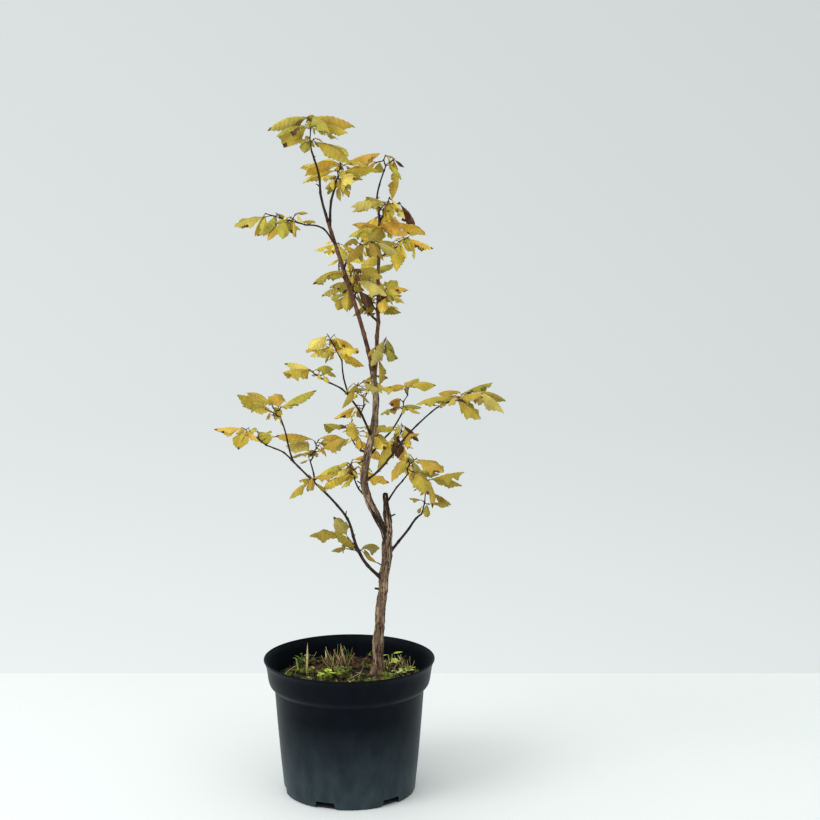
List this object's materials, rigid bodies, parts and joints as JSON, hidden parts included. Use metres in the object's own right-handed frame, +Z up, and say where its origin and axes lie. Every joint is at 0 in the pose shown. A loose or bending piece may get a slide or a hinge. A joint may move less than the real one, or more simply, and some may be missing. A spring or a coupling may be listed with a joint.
{
  "type": "potted young beech tree",
  "caption": "Young European beech with cut autumn leaves on a forked, slightly leaning stem, in a round flared black nursery pot that stands on its flat underside.",
  "frame": {"origin": "centre of the pot's flat underside, on the level surface that it stands on", "axes": "+Z up, -Y towards the front that the picture shows, +X to that view's right"},
  "size_m": [0.3694, 0.2656, 0.8638],
  "materials": {
    "pot": "black polypropylene with a soft sheen",
    "soil": "moist compost with moss",
    "old_bark": "matt grey-brown bark",
    "young_bark": "smooth reddish-brown bark",
    "leaves": "golden yellow autumn leaf"
  },
  "bodies": {
    "root": {"pot": "pot", "root_ball": "soil", "trunk": "old_bark", "main_stem": "old_bark", "leader_left": "young_bark", "leader_middle": "young_bark", "tip_left": "young_bark", "tip_right": "young_bark", "upper_left": "young_bark", "upper_right": "young_bark", "inner_left": "young_bark", "middle_tip": "young_bark", "middle_left": "young_bark", "middle_back": "young_bark", "middle_right": "young_bark", "low_left": "young_bark", "low_left_side": "young_bark", "low_left_up": "young_bark", "low_left_far": "young_bark", "low_right": "young_bark", "mid_right": "young_bark", "far_right": "young_bark", "right_upper": "young_bark", "left_mid": "young_bark", "left_mid_up": "young_bark", "left_inner": "young_bark", "left_low_inner": "young_bark", "spray_crown_left": "leaves", "spray_crown_right": "leaves", "spray_upper_left": "leaves", "spray_upper_right": "leaves", "spray_leader_tip": "leaves", "spray_leader_bud": "leaves", "spray_leader_cross": "leaves", "spray_right_high": "leaves", "spray_inner_high": "leaves", "spray_inner_mid": "leaves", "spray_middle_left": "leaves", "spray_middle_back": "leaves", "spray_middle_low": "leaves", "spray_middle_side": "leaves", "spray_fork": "leaves", "spray_left_high": "leaves", "spray_left_mid": "leaves", "spray_left_twig": "leaves", "spray_left_fringe": "leaves", "spray_low_left_up": "leaves", "spray_low_left_far": "leaves", "spray_low_left_side": "leaves", "spray_low_left_hang": "leaves", "spray_left_inner": "leaves", "spray_left_low_inner": "leaves", "spray_low_inner": "leaves", "spray_right_upper": "leaves", "spray_far_right": "leaves", "spray_mid_right": "leaves", "spray_right_inner": "leaves", "spray_low_right": "leaves", "spray_crown_low": "leaves", "spray_leader_side": "leaves"}
  },
  "joints": []
}
